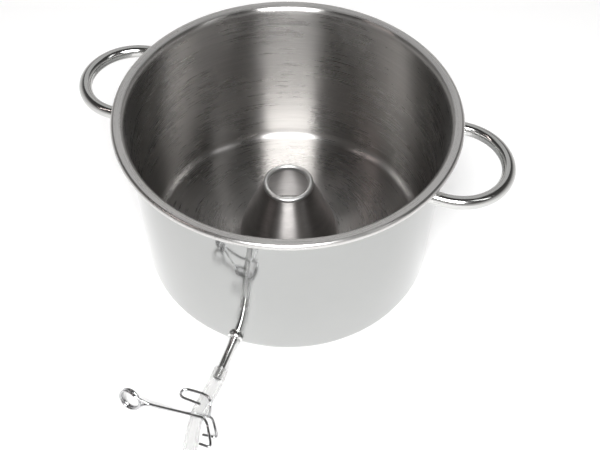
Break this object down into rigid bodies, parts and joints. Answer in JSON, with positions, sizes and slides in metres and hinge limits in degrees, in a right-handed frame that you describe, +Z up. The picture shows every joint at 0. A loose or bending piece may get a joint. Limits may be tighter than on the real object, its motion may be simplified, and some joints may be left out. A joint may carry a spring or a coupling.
{
  "type": "steam juicer juice kettle",
  "caption": "Polished steel juice kettle of a steam juicer, with a central steam cone, tube handles, an outlet spout, a clear juice hose and a sprung wire hose clamp.",
  "frame": {"origin": "middle of the kettle's own box, at its base (the hose and what is on it are left out)", "axes": "+Z up, -Y along the outlet spout, X through both handles"},
  "size_m": [0.3682, 0.519, 0.1605],
  "materials": {
    "polished_steel": "mirror polished outside, brushed inside",
    "brushed_steel": "brushed lengthways",
    "handle_steel": "polished",
    "spout_steel": "polished",
    "clear_silicone": "clear, slightly milky silicone",
    "chromed_wire": "bright chromed wire"
  },
  "bodies": {
    "kettle": {"kettle_shell": "polished_steel", "steam_cone": "brushed_steel", "handle_left": "handle_steel", "handle_right": "handle_steel", "outlet_spout": "spout_steel", "spout_weld_ring": "spout_steel", "juice_hose": "clear_silicone"},
    "clamp": {"clamp_spring": "chromed_wire", "clamp_arm_lower": "chromed_wire", "clamp_hose_keeper": "chromed_wire"},
    "clamp_upper_arm": {"clamp_arm_upper": "chromed_wire"}
  },
  "joints": [
    {"name": "clamp_slide", "type": "slide", "parent": "kettle", "child": "clamp", "axis": [0, -1, 0], "range_m": [-0.008, 0.006]},
    {"name": "clamp_open", "type": "hinge", "parent": "clamp", "child": "clamp_upper_arm", "pos_m": [-0.0551, -0.195, 0.0206], "axis": [0, -1, 0], "range_deg": [0, 14], "stiffness_Nm_per_rad": 0.05, "springref_deg": -20.05}
  ]
}
